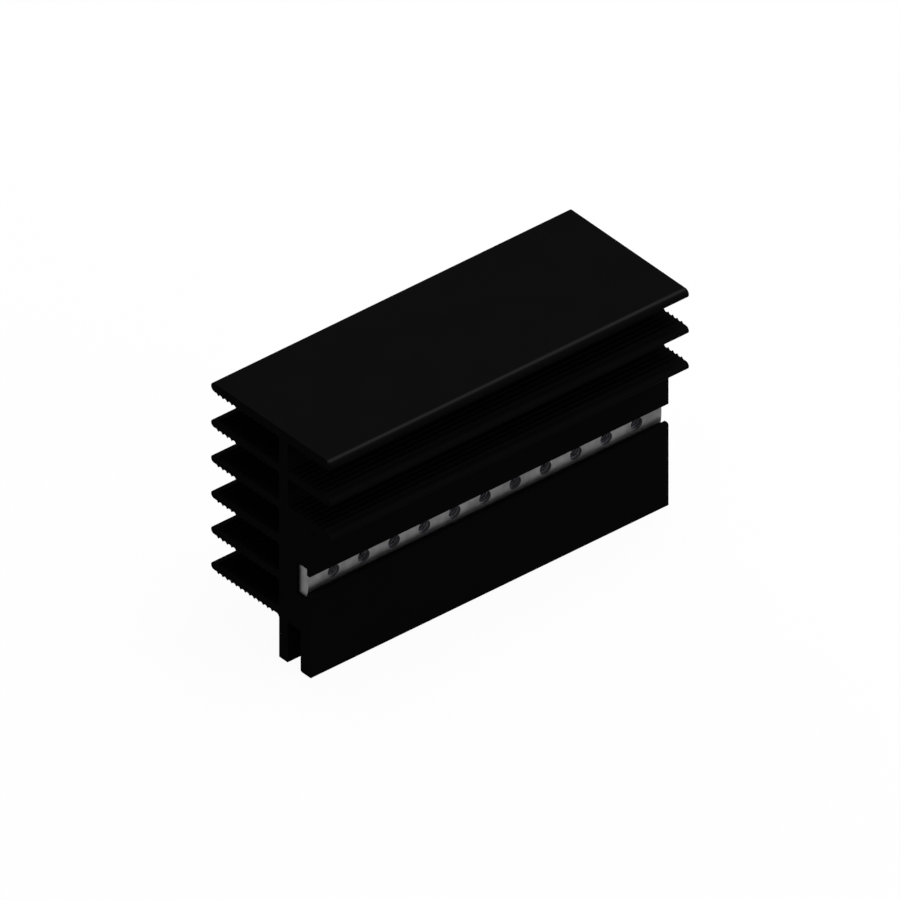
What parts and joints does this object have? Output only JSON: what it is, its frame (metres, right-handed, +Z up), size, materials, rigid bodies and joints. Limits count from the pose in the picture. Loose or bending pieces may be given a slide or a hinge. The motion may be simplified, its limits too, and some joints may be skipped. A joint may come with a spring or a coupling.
{
  "type": "extruded heat sink",
  "caption": "Black anodised extruded heat sink with ridged cooling fins, a slotted foot and a threaded rail held in a T-slot for clamping power devices.",
  "frame": {"origin": "on the foot plane, at the centre of the length and of the width over the fin tips", "axes": "+X along the extrusion, +Y towards the long fins, -Y out of the device face, +Z up from the foot to the top plate"},
  "size_m": [0.075, 0.03, 0.045],
  "materials": {
    "black_anodised": "black anodised, satin, with fine lines along the extrusion",
    "zinc_plated_steel": "zinc plated steel strip, satin grey"
  },
  "bodies": {
    "root": {"heat_sink_extrusion": "black_anodised", "threaded_rail": "zinc_plated_steel"}
  },
  "joints": []
}
